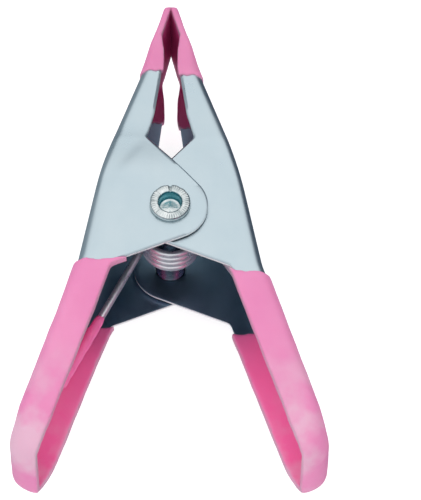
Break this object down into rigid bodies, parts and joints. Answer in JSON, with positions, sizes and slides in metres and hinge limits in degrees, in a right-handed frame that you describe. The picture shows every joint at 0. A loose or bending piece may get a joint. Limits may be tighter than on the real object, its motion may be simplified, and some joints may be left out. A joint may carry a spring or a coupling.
{
  "type": "spring clamp",
  "caption": "Hand spring clamp: stamped steel levers on a rivet, closed by a torsion spring, with vinyl-dipped handles and jaw tips.",
  "frame": {"origin": "on the rivet's axis, on the flat underside of the rivet's head, which the clamp rests on when it lies on its side", "axes": "+Z along the rivet's axis, from its flat head to its clinched rim; +Y towards the jaws; +X towards the inner lever's handle"},
  "size_m": [0.0886, 0.1505, 0.0424],
  "materials": {
    "outer_lever_zinc": "satin",
    "inner_lever_zinc": "satin",
    "rivet_zinc": "gloss",
    "spring_steel": "gloss",
    "outer_grip_vinyl": "satin",
    "inner_grip_vinyl": "satin",
    "outer_tip_vinyl": "satin",
    "inner_tip_vinyl": "satin"
  },
  "bodies": {
    "outer_side": {"outer_lever": "outer_lever_zinc", "outer_handle_grip": "outer_grip_vinyl", "outer_jaw_tip": "outer_tip_vinyl", "pivot_rivet": "rivet_zinc", "torsion_spring": "spring_steel"},
    "inner_side": {"inner_lever": "inner_lever_zinc", "inner_handle_grip": "inner_grip_vinyl", "inner_jaw_tip": "inner_tip_vinyl"}
  },
  "joints": [
    {"name": "jaw_opening", "type": "hinge", "parent": "outer_side", "child": "inner_side", "pos_m": [0, 0, 0.0211], "axis": [0, 0, -1], "range_deg": [0, 48], "stiffness_Nm_per_rad": 1.17, "springref_deg": -74.48, "deforming": ["torsion_spring"]}
  ]
}
